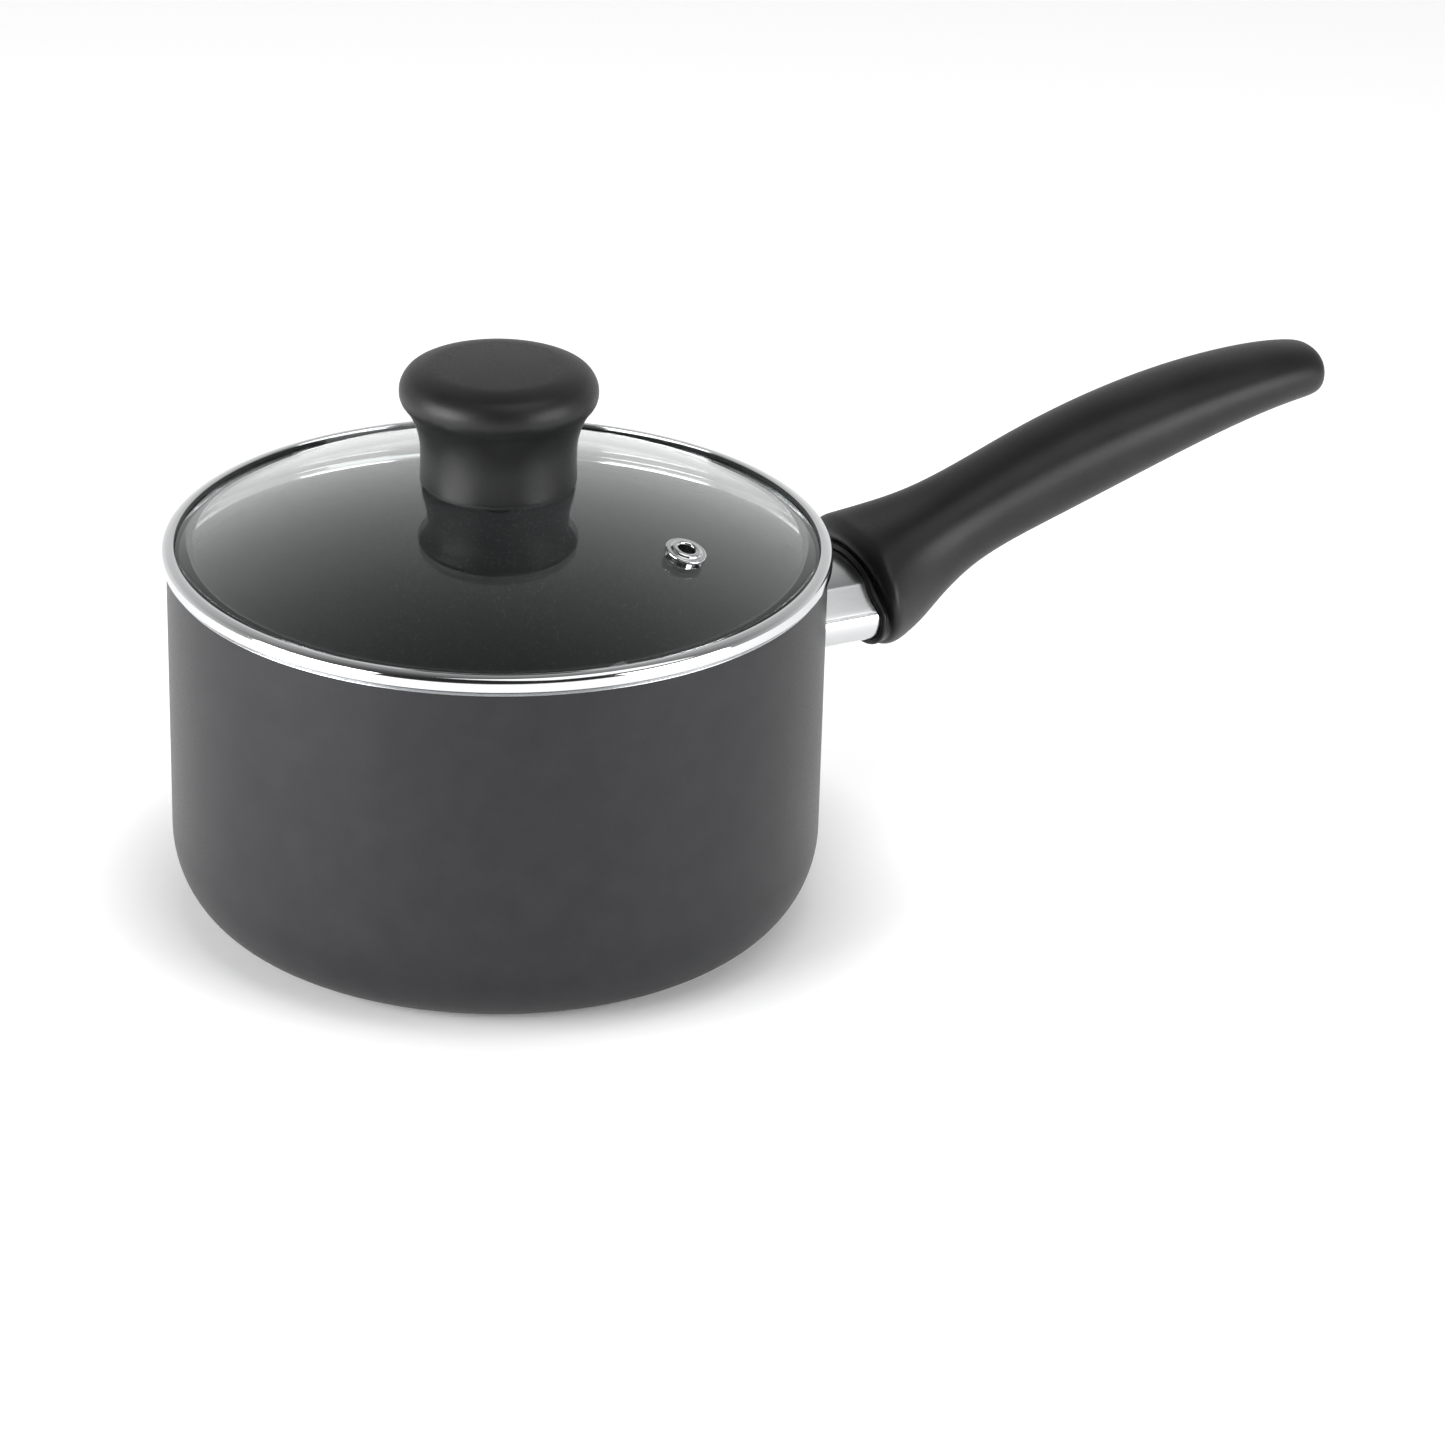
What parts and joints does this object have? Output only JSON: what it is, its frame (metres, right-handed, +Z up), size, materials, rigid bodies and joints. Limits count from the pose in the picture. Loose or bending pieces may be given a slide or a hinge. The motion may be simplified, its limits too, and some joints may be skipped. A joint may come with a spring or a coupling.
{
  "type": "saucepan with glass lid",
  "caption": "Deep round saucepan with a flared one-piece side handle on a steel flame guard, and a domed glass lid with a steel band, steam vent and mushroom knob.",
  "frame": {"origin": "centre of the pan's flat base face, on the pan's axis", "axes": "+Z up along the pan's axis, +X along the handle away from the pan"},
  "size_m": [0.3543, 0.183, 0.1582],
  "materials": {
    "coated_aluminium": "dark grey metallic coating outside, dark nonstick coating inside, bare rolled rim",
    "stainless_steel": "polished stainless steel",
    "plated_steel": "zinc-plated steel",
    "handle_resin": "fine satin texture, moulded heat-proof resin",
    "tempered_glass": "clear polished",
    "silicone_seal": "matt silicone",
    "brass_insert": "knurled"
  },
  "bodies": {
    "pan": {"pan_body": "coated_aluminium", "bracket_pad": "plated_steel", "bracket_tongue": "plated_steel", "weld_nut": "plated_steel", "flame_guard": "stainless_steel", "handle_grip": "handle_resin", "handle_screw": "stainless_steel", "handle_lock_washer": "plated_steel"},
    "lid_spindle": {"knob_screw": "stainless_steel"},
    "lid": {"lid_glass": "tempered_glass", "rim_band": "stainless_steel", "knob_grip": "handle_resin", "knob_insert": "brass_insert", "knob_gasket": "silicone_seal", "under_gasket": "silicone_seal", "flat_washer": "stainless_steel", "spring_washer": "plated_steel", "vent_eyelet": "stainless_steel", "vent_gasket": "silicone_seal", "vent_ring": "stainless_steel"}
  },
  "joints": [
    {"name": "lid_lift", "type": "slide", "parent": "pan", "child": "lid_spindle", "axis": [0, 0, 1], "range_m": [0, 0.12]},
    {"name": "lid_turn", "type": "hinge", "parent": "lid_spindle", "child": "lid", "pos_m": [0, 0, 0.12], "axis": [0, 0, 1], "continuous": true}
  ]
}
